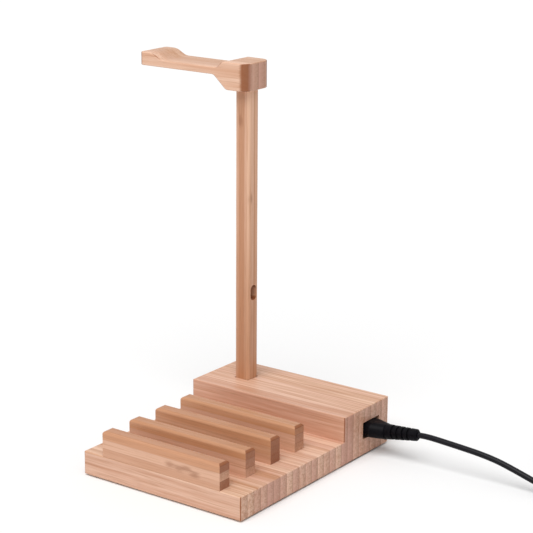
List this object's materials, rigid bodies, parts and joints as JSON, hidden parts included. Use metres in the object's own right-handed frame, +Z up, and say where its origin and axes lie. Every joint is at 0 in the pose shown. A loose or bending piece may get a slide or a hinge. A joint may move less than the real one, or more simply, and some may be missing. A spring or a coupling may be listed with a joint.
{
  "type": "charging station organizer",
  "caption": "Bamboo desk organizer that stands phones upright in slots, charges them from a built-in charger, and hangs headphones on a post arm.",
  "frame": {"origin": "on the table, under the middle of the base board, on the face of the large anti-slip pad", "axes": "+X to the right of someone facing the front rail, +Y from the front rail to the rear block, +Z up"},
  "size_m": [0.3824, 0.2488, 0.2606],
  "materials": {
    "bamboo": "laminated caramel bamboo, satin lacquer",
    "dowel_wood": "plain beech",
    "zinc_steel": "bright zinc plate",
    "brass": "turned brass",
    "nickel_pins": "nickel plate",
    "anti_slip": "black foam rubber",
    "black_plastic": "black moulded plastic, fine grain",
    "board_laminate": "green solder mask",
    "port_steel": "stamped nickel-plated steel",
    "white_plastic": "white moulded plastic",
    "ferrite": "pressed grey-black ferrite",
    "winding_tape": "yellow insulating tape",
    "capacitor_sleeve": "shrink sleeve",
    "lead_vinyl": "black flexible vinyl"
  },
  "bodies": {
    "station": {"base_board": "bamboo", "rear_block": "bamboo", "front_rail": "bamboo", "divider_1": "bamboo", "divider_2": "bamboo", "divider_3": "bamboo", "post": "bamboo", "hanger_arm": "bamboo", "rail_dowels": "dowel_wood", "block_dowels": "dowel_wood", "arm_dowel": "dowel_wood", "post_bolt": "zinc_steel", "post_washer": "zinc_steel", "cover_screws": "zinc_steel", "case_screws": "zinc_steel", "post_insert": "brass", "inlet_pins": "nickel_pins", "front_pad": "anti_slip", "side_pads": "anti_slip", "bottom_cover": "black_plastic", "charger_case_lower": "black_plastic", "charger_case_upper": "black_plastic", "mains_inlet": "black_plastic", "charger_board": "board_laminate", "usb_port_1": "port_steel", "usb_port_2": "port_steel", "usb_port_3": "port_steel", "usb_tongues": "white_plastic", "transformer_core": "ferrite", "transformer_winding": "winding_tape", "capacitors": "capacitor_sleeve"},
    "mains_lead": {"lead_connector": "lead_vinyl", "connector_relief": "lead_vinyl", "lead_cord": "lead_vinyl", "lead_coil": "lead_vinyl", "coil_tie": "lead_vinyl", "plug_relief": "lead_vinyl", "mains_plug": "lead_vinyl", "connector_nose": "black_plastic", "connector_contacts": "brass", "plug_pins": "nickel_pins"}
  },
  "joints": [
    {"name": "lead_unplug", "type": "slide", "parent": "station", "child": "mains_lead", "axis": [1, 0, 0], "range_m": [0, 0.025]}
  ]
}
